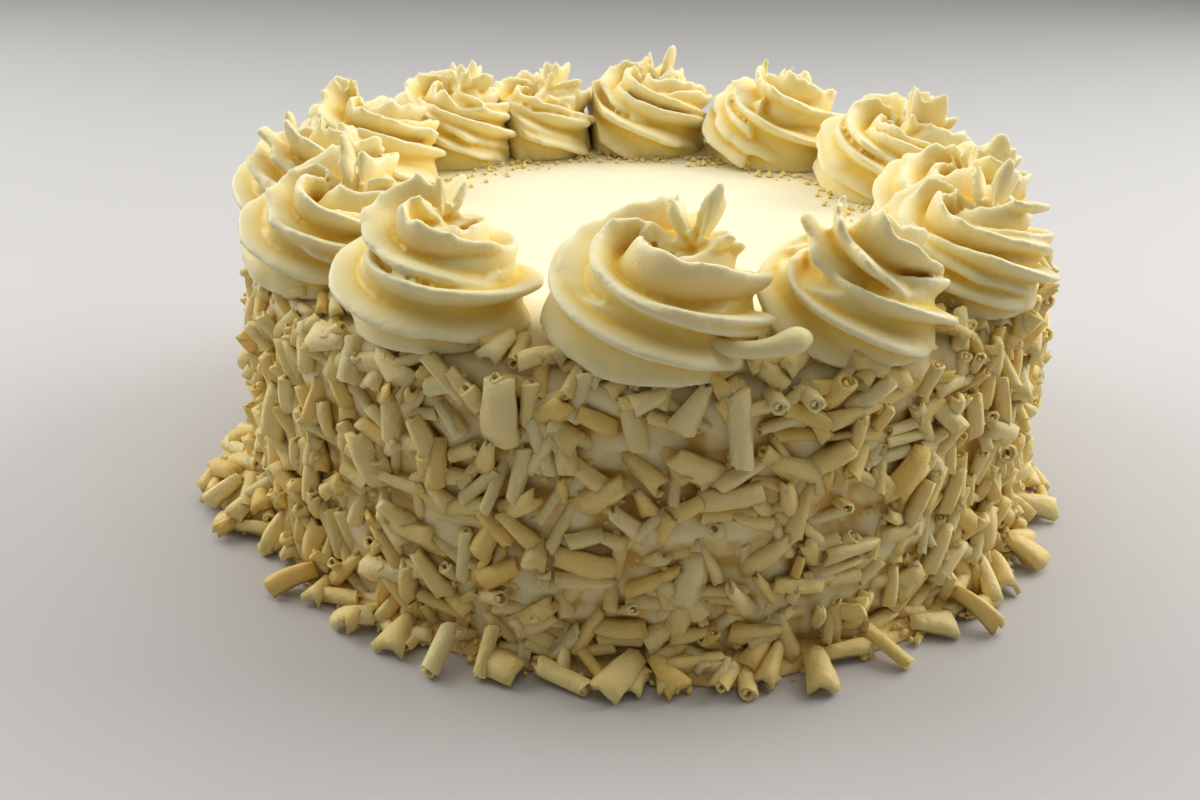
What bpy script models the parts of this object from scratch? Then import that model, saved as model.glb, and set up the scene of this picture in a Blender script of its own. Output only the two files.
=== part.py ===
"""Round iced carrot cake: a ring of piped rosettes on top, white chocolate shavings pressed round its side.

The cake stands on z = 0 with its axis on the origin. Its front, where the shavings
under the rosettes are largest, faces -Y. All dimensions are in metres.
"""
import math
import random

import bmesh
import bpy
from mathutils import Matrix, Vector, noise

MM = 0.001

# ---- the iced cake ----
CAKE_HEIGHT = 65 * MM
FOOT_RADIUS = 100.5 * MM          # icing at the foot, under the shavings
SHOULDER_RADIUS = 97 * MM         # icing just under the rounded top edge
SHOULDER_ROUND = 6 * MM
BODY_STEPS = 60                   # flats round the turned body
ICING_WAVE = 1.1 * MM             # how uneven the spread icing is
WAVE_PITCH = 26                   # how close together its waves lie
LEVEL_RADIUS = 88 * MM            # within this the top is level

ICING_COLOUR = (0.86, 0.80, 0.64)

# ---- the piped rosettes ----
GAP = 0.3 * MM                    # clearance between pieces that touch
ROSETTE_RING_RADIUS = 79 * MM
ROSETTE_RADIUS = 21 * MM
ROSETTE_HEIGHT = 22 * MM          # up to the middle of the rope's end, whose lobes stand higher
ROPE_SHARE = 0.45                 # radius of the piped rope against that of its rosette
STEPS_A_TURN = 20                 # stretches along each turn of the rope
FOOT_TURNS = 0.8                  # turns laid on the cake before the rope goes inwards and up
FOOT_SQUASH = 0.76                # height of the rope's middle over the cake, against its radius
TURN_RISE = 0.12                  # its rise in each turn, against its radius
RISE_BEND = 1.4                   # above 1, it rises slowly at first and steeply at its end
END_SWING = 0.4                   # how far off the middle the rope ends, against its first turn
ROPE_THINNING = 0.05              # how much thinner it gets
END_FLARE = 0.05                  # how much its lobes open out at the end
END_TURNS = 0.25                  # over this much of it
END_HOLLOW = ((0.65, 2 * MM), (0.5, 2 * MM))     # narrowing and depth of each step into its end
STAR_POINTS = 6
STAR_VALLEY = 0.32                # valley radius against crest radius of the star nozzle
CREST_SHARPNESS = 1.5
STAR_STEPS = 24                   # points round the nozzle's outline
RIDGE_WAVE = 0.25                 # how much the ridges swell and shrink
WAVES_A_TURN = 2.2
MEANDER = 0.22                    # how far the ridges wander sideways round the rope, in radians
WOBBLE = 0.06                     # how far the rope's turns are from round
CROWN_RISE = 1.5 * MM             # how far the lobes tear upwards where the nozzle lifts off
CROWN_TURNS = 0.2
ROSETTE_MESH = 1.5 * MM
ROSETTE_TRIANGLES = 400           # before the flat cuts at its foot and its neighbours

PIPED_COLOUR = (0.88, 0.80, 0.55)

# Each rosette: angle round the ring from the front in degrees, then its ring radius, outer radius
# and height against the usual ones, the angle at which its rope starts, the rope's turns, how high
# a ridge stands on the rope where it first passes the front, in degrees, and how far the ridges
# turn round the rope in each of its turns.
ROSETTES = (
    (0.3, 1.02, 1.15, 1.10, -20, 2.0, -16, -0.6),
    (28.5, 1.055, 0.98, 1.13, 150, 1.9, -10, -0.9),
    (55, 1.04, 1.04, 1.00, 60, 2.3, -20, -0.7),
    (81, 0.98, 1.05, 0.90, 300, 2.1, 0, -0.6),
    (114, 0.97, 1.12, 0.92, 20, 2.3, 0, -0.8),
    (147, 0.97, 1.12, 0.96, 240, 2.2, 20, -0.7),
    (179, 0.96, 1.10, 0.92, 110, 2.3, 0, -0.8),
    (205, 0.97, 1.00, 0.84, 330, 2.1, 10, -0.7),
    (225, 1.02, 1.03, 0.98, 80, 2.4, 0, -0.7),
    (250, 1.02, 1.06, 0.98, 180, 2.2, 20, -0.8),
    (278, 1.02, 1.07, 0.98, 296, 2.3, 0, -0.6),
    (302, 1.04, 1.06, 0.98, 45, 2.2, -20, -0.7),
    (328.5, 1.055, 1.00, 1.10, 130, 2.2, -14, -0.4),
)

# ---- the shavings ----
SEED = 23
SIDE_ROWS = 4
SIDE_COLUMNS = 22
ROW_STAGGER = 0.38                # shift of each row against the one below, in columns
LOWEST_ON_SIDE = 6 * MM
FRONT_WIDTH = 40                  # degrees to either side of the front, where the shavings lie any way
UPRIGHT_SPREAD = 28               # how far those beyond it lean from upright, in degrees
SHOULDER_SHAVINGS = 22
SHOULDER_DEPTH = (4 * MM, 9 * MM)  # how far these lie under the top
FOOT_SHAVINGS = 25                # besides those at the front
FOOT_FRONT = (-52, 63)            # between these angles the foot has the front's own shavings alone
BANK_SHAVINGS = 18
SPREAD = (0.7548776662, 0.5698402910)   # steps of an even spread in two directions
SHAVING_LENGTH = (9 * MM, 13 * MM)
CURL_RADIUS = (2.0 * MM, 2.7 * MM)
SHARD_WIDTH = (5 * MM, 8 * MM)
SHARD_THICKNESS = 1.5 * MM
SHARD_BOW = 0.9 * MM
SHARD_TAPER = 0.56                # how much narrower one end is
STAND_OFF = 0.8 * MM              # how far the middle of a shaving stands off the icing
BARE_BAND = 9 * MM                # icing left nearly bare under the rosettes
SKIRT_WIDTH = 5.5 * MM            # low ring of heaped crumbs round the foot
SKIRT_HEIGHT = 3 * MM
SKIRT_WAVE = 5 * MM
FOOT_REACH = (4 * MM, 7.5 * MM)   # how far the middles of the foot's shavings lie out from the side

# Shavings that stand out at the front: (kind, angle, height, reach, length, width, turn, tilt), where
# reach is how far the middle lies out from the side, turn 90 is upright and tilt 90 is level.
FRONT_SHAVINGS = (
    ('shard', -17, 57 * MM, 2.0 * MM, 13 * MM, 8 * MM, 90, 0),
    ('curl', -24, 60 * MM, 1.5 * MM, 8 * MM, 2.4 * MM, 20, 30),
    ('shard', -31, 60 * MM, 1.5 * MM, 10 * MM, 7 * MM, 150, 20),
    ('curl', -38, 59 * MM, 2.0 * MM, 9 * MM, 2.6 * MM, 100, 30),
    ('shard', -42, 61 * MM, 1.5 * MM, 10 * MM, 8 * MM, 10, 40),
    ('curl', 9, 56 * MM, 2.6 * MM, 15 * MM, 2.7 * MM, 96, 8),
    ('curl', 13, 61 * MM, 0.0, 9 * MM, 2.3 * MM, 90, 85),
    ('curl', 17, 61 * MM, 0.5 * MM, 9 * MM, 2.3 * MM, 90, 85),
    ('shard', 4, 60 * MM, 1.5 * MM, 10 * MM, 6 * MM, 60, 10),
)
# At the front of the foot: (kind, angle, reach, turn), where turn 90 points straight outwards.
FOOT_FRONT_SHAVINGS = (
    ('shard', -46, 9.0 * MM, 70),
    ('curl', -40, 5.0 * MM, 20),
    ('shard', -35, 8.0 * MM, 30),
    ('shard', -29, 6.5 * MM, 100),
    ('curl', -23, 8.5 * MM, 95),
    ('shard', -16, 7.0 * MM, 170),
    ('curl', -9, 7.5 * MM, 160),
    ('shard', -3, 6.5 * MM, 60),
    ('shard', 2, 4.5 * MM, 120),
    ('curl', 11, 6.0 * MM, 80),
    ('shard', 19, 9.0 * MM, 75),
    ('curl', 28, 8.0 * MM, 110),
    ('shard', 36, 6.0 * MM, 150),
    ('curl', 44, 8.5 * MM, 170),
    ('shard', 51, 6.5 * MM, 45),
    ('shard', 57, 8.0 * MM, 100),
)
BANK_ANGLE = -71                  # middle of the bank of shavings against the left of the foot
BANK_SIZE = (13 * MM, 25 * MM, 12 * MM)    # its reach, half length and height


def clear_scene():
    for obj in list(bpy.data.objects):
        bpy.data.objects.remove(obj, do_unlink=True)


def new_collection(name):
    collection = bpy.data.collections.new(name)
    bpy.context.scene.collection.children.link(collection)
    return collection


def plain_material(name, colour, roughness):
    material = bpy.data.materials.new(name)
    material.use_nodes = True
    shader = material.node_tree.nodes["Principled BSDF"]
    shader.inputs["Base Color"].default_value = (*colour, 1.0)
    shader.inputs["Roughness"].default_value = roughness
    shader.inputs["Metallic"].default_value = 0.0
    return material


def add_object(name, mesh, collection, material=None):
    obj = bpy.data.objects.new(name, mesh)
    collection.objects.link(obj)
    if material is not None:
        mesh.materials.clear()
        mesh.materials.append(material)
    return obj


def evaluated_mesh(obj):
    """The object's mesh with its curve bevel or modifiers applied."""
    graph = bpy.context.evaluated_depsgraph_get()
    graph.update()
    return bpy.data.meshes.new_from_object(obj.evaluated_get(graph))


def ring_point(angle_deg, radius, height):
    """A point at an angle from the front, counted to the right, or anticlockwise from above."""
    angle = math.radians(angle_deg - 90)
    return Vector((radius * math.cos(angle), radius * math.sin(angle), height))


# ---------------------------------------------------------------- iced cake body

def side_radius(height):
    """The icing's radius at a height: it flares a little from the shoulder to the foot."""
    share = min(max(height / CAKE_HEIGHT, 0.0), 1.0)
    return FOOT_RADIUS + (SHOULDER_RADIUS - FOOT_RADIUS) * share


def arc_points(centre_x, centre_z, radius, start_deg, end_deg, steps):
    points = []
    for step in range(steps + 1):
        angle = math.radians(start_deg + (end_deg - start_deg) * step / steps)
        points.append((centre_x + radius * math.cos(angle), centre_z + radius * math.sin(angle)))
    return points


def body_profile():
    """Half outline of the iced cake at +X, from the middle of its top down to the middle of its base."""
    top = [(0.0, CAKE_HEIGHT), (LEVEL_RADIUS * 0.6, CAKE_HEIGHT), (LEVEL_RADIUS, CAKE_HEIGHT)]
    shoulder = arc_points(SHOULDER_RADIUS - SHOULDER_ROUND, CAKE_HEIGHT - SHOULDER_ROUND,
                          SHOULDER_ROUND, 90, 0, 3)
    side = [(side_radius(height), height) for height in (CAKE_HEIGHT * 0.72, CAKE_HEIGHT * 0.52,
                                                         CAKE_HEIGHT * 0.32, CAKE_HEIGHT * 0.14)]
    skirt = [(FOOT_RADIUS, SKIRT_HEIGHT), (FOOT_RADIUS + SKIRT_WIDTH * 0.7, SKIRT_HEIGHT * 0.6),
             (FOOT_RADIUS + SKIRT_WIDTH, 0.0)]
    return top + shoulder + side + skirt + [(0.0, 0.0)]


def spread_icing(mesh):
    """Makes the side uneven, as icing from a palette knife, and the skirt more so.

    The top and the base stay level.
    """
    for vertex in mesh.vertices:
        place = vertex.co
        radius = math.hypot(place.x, place.y)
        if radius < LEVEL_RADIUS + MM:
            continue
        wave = noise.noise(Vector((place.x, place.y, place.z * 1.6)) * WAVE_PITCH)
        push = (SKIRT_WAVE if place.z < SKIRT_HEIGHT * 0.8 else ICING_WAVE) * (wave - 0.25)
        place.x += push * place.x / radius
        place.y += push * place.y / radius


def iced_body(collection, material):
    outline = body_profile()
    mesh = bpy.data.meshes.new("iced_cake")
    mesh.from_pydata([(x, 0.0, z) for x, z in outline],
                     [(index, index + 1) for index in range(len(outline) - 1)], [])
    profile = add_object("body_profile", mesh, collection)
    turn = profile.modifiers.new("turn", 'SCREW')
    turn.angle = 2 * math.pi
    turn.steps = BODY_STEPS
    turn.render_steps = BODY_STEPS
    turn.use_merge_vertices = True
    turn.merge_threshold = 0.00005
    turned = evaluated_mesh(profile)
    bpy.data.objects.remove(profile, do_unlink=True)
    spread_icing(turned)
    return add_object("iced_cake", turned, collection, material)


# ---------------------------------------------------------------- shavings

def shaving_list():
    """Where each large shaving lies: (kind, angle, height, reach, length, width, turn, tilt).

    Those on the side are in staggered rows, each moved a little at random.
    """
    draw = random.Random(SEED)
    shavings = list(FRONT_SHAVINGS)
    row_height = (CAKE_HEIGHT - BARE_BAND - LOWEST_ON_SIDE) / SIDE_ROWS
    for row in range(SIDE_ROWS):
        for column in range(SIDE_COLUMNS):
            angle = 360 / SIDE_COLUMNS * (column + row * ROW_STAGGER + draw.uniform(-0.3, 0.3))
            height = LOWEST_ON_SIDE + row_height * (row + 0.5 + draw.uniform(-0.4, 0.4))
            shavings.append(side_shaving(draw, angle, height))
    for index in range(SHOULDER_SHAVINGS):
        angle = 360 / SHOULDER_SHAVINGS * (index + draw.uniform(-0.3, 0.3))
        shavings.append(side_shaving(draw, angle, CAKE_HEIGHT - draw.uniform(*SHOULDER_DEPTH)))
    for kind, angle, reach, turn in FOOT_FRONT_SHAVINGS:
        shavings.append(foot_shaving(draw, angle, reach, 0.0, kind, turn))
    first, last = FOOT_FRONT
    for index in range(FOOT_SHAVINGS):
        angle = last + (360 - last + first) / FOOT_SHAVINGS * (index + 0.5 + draw.uniform(-0.35, 0.35))
        shavings.append(foot_shaving(draw, angle, draw.uniform(*FOOT_REACH), 0.0))
    for index in range(BANK_SHAVINGS):
        shavings.append(bank_shaving(draw, 2 * ((index * SPREAD[0]) % 1.0) - 1, (index * SPREAD[1]) % 1.0))
    return shavings


def drawn_sizes(draw, kind=None):
    if kind is None:
        kind = 'curl' if draw.random() < 0.4 else 'shard'
    width = draw.uniform(*(CURL_RADIUS if kind == 'curl' else SHARD_WIDTH))
    return kind, draw.uniform(*SHAVING_LENGTH), width


def side_turn(draw, angle):
    """How a shaving on the side is turned: any way at the front, and nearly upright beyond it."""
    from_front = abs((angle + 180) % 360 - 180)
    return draw.uniform(0, 180) if from_front < FRONT_WIDTH else draw.gauss(90, UPRIGHT_SPREAD)


def side_shaving(draw, angle, height):
    """One that is pressed against the side."""
    kind, length, width = drawn_sizes(draw)
    return kind, angle, height, STAND_OFF, length, width, side_turn(draw, angle), draw.uniform(-40, 40)


def foot_shaving(draw, angle, reach, height, kind=None, turn=None):
    """One that lies on the ground or on the bank, roughly level."""
    kind, length, width = drawn_sizes(draw, kind)
    turn = draw.uniform(0, 180) if turn is None else turn
    return kind, angle, height, reach, length * 0.95, width * 0.9, turn, draw.uniform(60, 90)


def bank_shaving(draw, around, climb):
    """One on the bank: around runs from -1 to 1 along it, and climb from 0 at its toe to 1 at its top."""
    reach, half_length, height = BANK_SIZE
    width = math.sqrt(1 - 0.9 * around * around)
    angle = BANK_ANGLE + math.degrees(around * half_length / FOOT_RADIUS)
    slope = climb * math.pi / 2
    return foot_shaving(draw, angle, reach * width * math.cos(slope), height * width * math.sin(slope))


def curl_mesh(length, radius):
    """A rolled curl: a short six-sided roll lying along X."""
    shape = bmesh.new()
    bmesh.ops.create_cone(shape, cap_ends=True, cap_tris=False, segments=6, radius1=radius,
                          radius2=radius * 0.85, depth=length,
                          matrix=Matrix.Rotation(math.radians(90), 4, 'Y'))
    return shape


def shard_mesh(length, width):
    """A flat shaving lying along X, bowed over its length and narrower at one end."""
    shape = bmesh.new()
    bmesh.ops.create_cube(shape, size=1.0)
    along = [edge for edge in shape.edges if abs(edge.verts[0].co.x - edge.verts[1].co.x) > 0.5]
    bmesh.ops.subdivide_edges(shape, edges=along, cuts=1)
    for vertex in shape.verts:
        share = vertex.co.x * 2
        narrow = 1 - SHARD_TAPER * (share + 1) / 2
        vertex.co.x *= length
        vertex.co.y *= width * narrow
        vertex.co.z = vertex.co.z * SHARD_THICKNESS + SHARD_BOW * (1 - share * share)
    return shape


def place_shaving(shape, angle, height, reach, turn, tilt):
    """Lays a shaving made flat at the origin against the side, or on the ground at the foot."""
    outward = ring_point(angle, 1.0, 0.0)
    upward = Vector((0, 0, 1))
    across = upward.cross(outward)
    stand = Matrix((across, upward, outward)).transposed().to_4x4()
    lean = Matrix.Rotation(math.radians(-tilt), 4, 'X')
    spin = Matrix.Rotation(math.radians(turn), 4, 'Z')
    place = Matrix.Translation(ring_point(angle, side_radius(height) + reach, height))
    shape.transform(place @ stand @ lean @ spin)
    keep_between(shape, GAP, CAKE_HEIGHT - GAP)


def keep_between(shape, floor, ceiling):
    """Moves a shaving up or down so that it clears the ground and the rosettes."""
    lowest = min(vertex.co.z for vertex in shape.verts)
    highest = max(vertex.co.z for vertex in shape.verts)
    lift = max(floor - lowest, 0.0) - max(highest - ceiling, 0.0)
    bmesh.ops.translate(shape, vec=(0, 0, lift), verts=shape.verts)


def bank_core(collection):
    """The mound of small shavings under the bank at the foot, a part of a flattened ball."""
    shape = bmesh.new()
    bmesh.ops.create_uvsphere(shape, u_segments=16, v_segments=8, radius=1.0)
    bmesh.ops.scale(shape, vec=BANK_SIZE, verts=shape.verts)
    bmesh.ops.rotate(shape, verts=shape.verts, cent=(0, 0, 0),
                     matrix=Matrix.Rotation(math.radians(BANK_ANGLE - 90), 3, 'Z'))
    bmesh.ops.translate(shape, vec=ring_point(BANK_ANGLE, FOOT_RADIUS, 0), verts=shape.verts)
    cut_flat(shape, (0, 0, 0), (0, 0, -1))
    mesh = bpy.data.meshes.new("bank_core")
    shape.to_mesh(mesh)
    shape.free()
    return add_object("bank_core", mesh, collection)


def add_shavings(collection):
    bank_core(collection)
    for index, (kind, angle, height, reach, length, width, turn, tilt) in enumerate(shaving_list()):
        if kind == 'curl':
            shape = curl_mesh(length, width)
        else:
            shape = shard_mesh(length, width)
        place_shaving(shape, angle, height, reach, turn, tilt)
        mesh = bpy.data.meshes.new("shaving")
        shape.to_mesh(mesh)
        shape.free()
        add_object(f"shaving_{index:03d}", mesh, collection)


def shells(shape):
    """The separate closed skins of a mesh, each a set of faces."""
    left = set(shape.faces)
    found = []
    while left:
        skin = set()
        reached = [left.pop()]
        while reached:
            face = reached.pop()
            skin.add(face)
            for edge in face.edges:
                joined = edge.link_faces if edge.is_manifold else ()
                for other in joined:
                    if other in left:
                        left.remove(other)
                        reached.append(other)
        found.append(skin)
    return found


def drop_scraps(shape):
    """Keeps the largest closed skin alone."""
    found = sorted(shells(shape), key=len)
    for skin in found[:-1]:
        bmesh.ops.delete(shape, geom=list(skin), context='FACES')


def keep_largest_shell(mesh):
    """Fills hollows that the fused shavings seal and drops loose scraps."""
    shape = bmesh.new()
    shape.from_mesh(mesh)
    drop_scraps(shape)
    bmesh.ops.triangulate(shape, faces=shape.faces)
    shape.to_mesh(mesh)
    shape.free()


def fuse_shavings(body, shavings):
    union = body.modifiers.new("shavings", 'BOOLEAN')
    union.operation = 'UNION'
    union.operand_type = 'COLLECTION'
    union.collection = shavings
    union.solver = 'EXACT'
    fused = evaluated_mesh(body)
    body.modifiers.remove(union)
    body.data = fused
    for piece in list(shavings.objects):
        bpy.data.objects.remove(piece, do_unlink=True)
    bpy.data.collections.remove(shavings)
    keep_largest_shell(fused)


# ---------------------------------------------------------------- rosettes

def crest_share(angle):
    """1 on a crest of the star nozzle and 0 in a valley: narrow crests, wide hollow flutes."""
    return (0.5 + 0.5 * math.cos(STAR_POINTS * angle)) ** CREST_SHARPNESS


def star_nozzle(collection):
    """The nozzle's outline, with a crest radius of 1."""
    curve = bpy.data.curves.new("star_nozzle", 'CURVE')
    curve.dimensions = '2D'
    outline = curve.splines.new('POLY')
    outline.points.add(STAR_STEPS - 1)
    for index, point in enumerate(outline.points):
        angle = 2 * math.pi * index / STAR_STEPS
        radius = STAR_VALLEY + (1 - STAR_VALLEY) * crest_share(angle)
        point.co = (radius * math.cos(angle), radius * math.sin(angle), 0.0, 1.0)
    outline.use_cyclic_u = True
    return add_object("star_nozzle", curve, collection)


def beyond(value, start, end):
    """How far a value has gone from start to end, from 0 to 1."""
    return min(max((value - start) / (end - start), 0.0), 1.0)


def rope_path(radius, height, start_deg, turns, ridge_deg, twist):
    """The rope's centre line from its start on the icing to its tip: (place, rope radius, nozzle turn).

    It winds clockwise seen from above, once round the foot and then inwards and up.
    """
    rope = ROPE_SHARE * radius
    first_ridge = 180 % (360 / STAR_POINTS)    # how high one stands on an unturned rope, in degrees
    steps = round(turns * STEPS_A_TURN)
    points = []
    for step in range(steps + 1):
        turned = turns * step / steps
        climb = beyond(turned, FOOT_TURNS, turns)
        wobble = noise.noise(Vector((turned * 2.6, start_deg, 0.5)))
        swing = (radius - rope) * (1 - (1 - END_SWING) * climb) * (1 + WOBBLE * wobble)
        laid = rope * (FOOT_SQUASH + TURN_RISE * turned)
        lift = laid + (height - laid) * climb ** RISE_BEND
        angle = math.radians(start_deg) - 2 * math.pi * turned
        place = Vector((swing * math.cos(angle), swing * math.sin(angle), lift))
        flare = 1 + END_FLARE * beyond(turned, turns - END_TURNS, turns) ** 2
        thickness = rope * (1 - ROPE_THINNING * climb) * flare
        nozzle_turn = math.radians(ridge_deg - first_ridge) + (angle + math.pi / 2) * twist
        nozzle_turn += MEANDER * noise.noise(Vector((turned * 3.1, start_deg, 7.5)))
        points.append((place, thickness, nozzle_turn))
    return points


def piped_rope(points, nozzle, collection):
    """The nozzle's outline swept along the rope's path, open at both ends."""
    curve = bpy.data.curves.new("rope", 'CURVE')
    curve.dimensions = '3D'
    curve.twist_mode = 'Z_UP'
    curve.bevel_mode = 'OBJECT'
    curve.bevel_object = nozzle
    line = curve.splines.new('POLY')
    line.points.add(len(points) - 1)
    for point, (place, radius, turn) in zip(line.points, points):
        point.co = (*place, 1.0)
        point.radius = radius
        point.tilt = turn
    rope = add_object("rope", curve, collection)
    mesh = evaluated_mesh(rope)
    bpy.data.objects.remove(rope, do_unlink=True)
    return mesh


def ruffle(mesh, points, seed, turns):
    """Swells the ridges unevenly and tears them upwards into a crown at the rope's end.

    The mesh has one ring of STAR_STEPS vertices at each point of the path.
    """
    own = Vector((seed * 7.3, 1.7, 3.1))
    for ring, (place, _radius, _turn) in enumerate(points):
        turned = turns * ring / (len(points) - 1)
        tear = beyond(turned, turns - CROWN_TURNS, turns)
        for step in range(STAR_STEPS):
            vertex = mesh.vertices[ring * STAR_STEPS + step]
            angle = 2 * math.pi * step / STAR_STEPS
            crest = crest_share(angle)
            ridge = round(STAR_POINTS * angle / (2 * math.pi)) % STAR_POINTS
            swell = noise.noise(own + Vector((turned * WAVES_A_TURN, ridge * 3.7, 0)))
            vertex.co = place + (vertex.co - place) * (1 + RIDGE_WAVE * swell * crest)
            pulled = 0.5 + 0.9 * max(noise.noise(own + Vector((ridge * 9.3, 5, 1))) + 0.5, 0.0)
            vertex.co.z += CROWN_RISE * tear * crest * pulled


def close_ends(shape, points):
    """Sinks the rope's end between its lobes, step by step, and caps both ends."""
    end, before = points[-1][0], points[-2][0]
    inwards = (before - end).normalized()
    last_ring = set(shape.verts[-STAR_STEPS:])
    rim = [edge for edge in shape.edges if edge.is_boundary and edge.verts[0] in last_ring]
    middle = end
    for narrowing, depth in END_HOLLOW:
        made = bmesh.ops.extrude_edge_only(shape, edges=rim)['geom']
        rim = [item for item in made if isinstance(item, bmesh.types.BMEdge) and item.is_boundary]
        for vertex in {vertex for edge in rim for vertex in edge.verts}:
            vertex.co = middle + (vertex.co - middle) * narrowing + depth * inwards
        middle = middle + depth * inwards
    bmesh.ops.holes_fill(shape, edges=[edge for edge in shape.edges if edge.is_boundary], sides=0)
    bmesh.ops.recalc_face_normals(shape, faces=shape.faces)


def closed_skin(mesh, points, collection, triangles):
    """One closed skin round the wound rope, brought down to a number of triangles."""
    shape = bmesh.new()
    shape.from_mesh(mesh)
    shape.verts.ensure_lookup_table()
    close_ends(shape, points)
    shape.to_mesh(mesh)
    shape.free()
    work = add_object("wound_rope", mesh, collection)
    skin = work.modifiers.new("skin", 'REMESH')
    skin.mode = 'VOXEL'
    skin.voxel_size = ROSETTE_MESH
    dense = sum(len(face.vertices) - 2 for face in evaluated_mesh(work).polygons)
    fewer = work.modifiers.new("fewer", 'DECIMATE')
    fewer.ratio = triangles / dense
    result = evaluated_mesh(work)
    bpy.data.objects.remove(work, do_unlink=True)
    return result


def cut_flat(shape, point, normal):
    """Cuts away what lies beyond a plane and closes the cut."""
    geometry = list(shape.verts) + list(shape.edges) + list(shape.faces)
    cut = bmesh.ops.bisect_plane(shape, geom=geometry, plane_co=point, plane_no=normal,
                                 dist=0.00001, clear_outer=True)
    rim = [item for item in cut['geom_cut'] if isinstance(item, bmesh.types.BMEdge)]
    if rim:
        bmesh.ops.holes_fill(shape, edges=rim, sides=0)


def part_from(shape, angle, neighbour, side):
    """Cuts a rosette flat where it presses on a neighbour, on the plane midway between the two."""
    apart = (neighbour - angle + 180) % 360 - 180
    middle = math.radians(angle + apart / 2 - 90)
    away = Vector((-math.sin(middle), math.cos(middle), 0)) * side
    cut_flat(shape, -away * GAP / 2, away)


def rosette(index, nozzle, collection, material):
    angle, ring, width, tall, start, turns, ridge, twist = ROSETTES[index]
    before = ROSETTES[index - 1][0]
    after = ROSETTES[(index + 1) % len(ROSETTES)][0]
    path = rope_path(ROSETTE_RADIUS * width, ROSETTE_HEIGHT * tall, start, turns, ridge, twist)
    rope = piped_rope(path, nozzle, collection)
    ruffle(rope, path, index, turns)
    mesh = closed_skin(rope, path, collection, ROSETTE_TRIANGLES)
    shape = bmesh.new()
    shape.from_mesh(mesh)
    bmesh.ops.translate(shape, verts=shape.verts,
                        vec=ring_point(angle, ROSETTE_RING_RADIUS * ring, CAKE_HEIGHT))
    cut_flat(shape, (0, 0, CAKE_HEIGHT + GAP), (0, 0, -1))
    part_from(shape, angle, before, -1)
    part_from(shape, angle, after, 1)
    drop_scraps(shape)
    bmesh.ops.triangulate(shape, faces=shape.faces)
    shape.to_mesh(mesh)
    shape.free()
    return add_object(f"rosette_{index + 1:02d}", mesh, collection, material)


def build():
    clear_scene()
    cake = new_collection("iced_carrot_cake")
    tools = new_collection("tools")
    icing = plain_material("icing", ICING_COLOUR, 0.55)
    piped_icing = plain_material("piped_icing", PIPED_COLOUR, 0.5)
    body = iced_body(cake, icing)
    add_shavings(tools)
    fuse_shavings(body, tools)
    nozzle = star_nozzle(cake)
    for index in range(len(ROSETTES)):
        rosette(index, nozzle, cake, piped_icing)
    bpy.data.objects.remove(nozzle, do_unlink=True)


build()
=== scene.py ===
"""Looks of the iced carrot cake: spread icing, piped rosettes and white chocolate shavings.

The cake stands on z = 0 with its axis on the origin, and its front faces -Y. All lengths
are in metres. Angles round the cake are counted in degrees from its front to the right.
"""
import math
import random

import bmesh
import bpy
import numpy as np
from mathutils import Matrix, Vector, noise


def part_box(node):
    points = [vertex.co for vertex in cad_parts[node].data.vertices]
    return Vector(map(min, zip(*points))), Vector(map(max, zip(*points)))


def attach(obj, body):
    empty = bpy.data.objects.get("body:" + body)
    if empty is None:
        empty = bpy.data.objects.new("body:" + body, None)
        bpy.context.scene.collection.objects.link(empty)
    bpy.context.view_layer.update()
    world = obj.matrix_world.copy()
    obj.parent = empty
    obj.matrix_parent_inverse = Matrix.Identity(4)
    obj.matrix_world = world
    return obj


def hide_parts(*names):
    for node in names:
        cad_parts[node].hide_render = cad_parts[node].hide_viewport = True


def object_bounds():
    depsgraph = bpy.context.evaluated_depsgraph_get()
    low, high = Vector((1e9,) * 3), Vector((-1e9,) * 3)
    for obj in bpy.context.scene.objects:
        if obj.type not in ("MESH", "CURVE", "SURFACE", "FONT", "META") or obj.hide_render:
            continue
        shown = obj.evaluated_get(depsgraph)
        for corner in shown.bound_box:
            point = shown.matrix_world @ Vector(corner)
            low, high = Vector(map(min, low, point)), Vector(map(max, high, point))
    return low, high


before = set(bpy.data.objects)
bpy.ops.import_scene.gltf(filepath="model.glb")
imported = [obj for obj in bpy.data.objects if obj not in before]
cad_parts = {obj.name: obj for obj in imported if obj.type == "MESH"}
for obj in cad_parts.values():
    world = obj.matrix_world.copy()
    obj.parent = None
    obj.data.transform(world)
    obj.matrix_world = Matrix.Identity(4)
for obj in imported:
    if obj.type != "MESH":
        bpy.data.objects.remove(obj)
frame_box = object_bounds()

MM = 0.001
BODY = "root"

# ---- the iced cake ----
CAKE_NODE = "iced_cake"
CAKE_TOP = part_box(CAKE_NODE)[1].z
FOOT_RADIUS = 100.5 * MM
SHOULDER_RADIUS = 97 * MM
SHOULDER_ROUND = 6 * MM
SHOULDER_STEPS = 8                # flats down the rounded shoulder
LEVEL_RADIUS = 88 * MM            # the top is level out to here
SHADED_SIDE_RADII = (76 * MM, 91 * MM)  # radii between which the top's colour turns into the side's darker, yellower painted shade
COAT_AROUND = 400                 # flats round the coat of icing
COAT_ROWS = 42                    # rows down its side
COAT_RINGS = 34                   # rings across its top
COAT_MIDDLE = 1.5                 # radius of the disc inside them, against a ring's width
SIDE_PUSH = 0.125 * MM            # how far the spread side stands out
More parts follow.
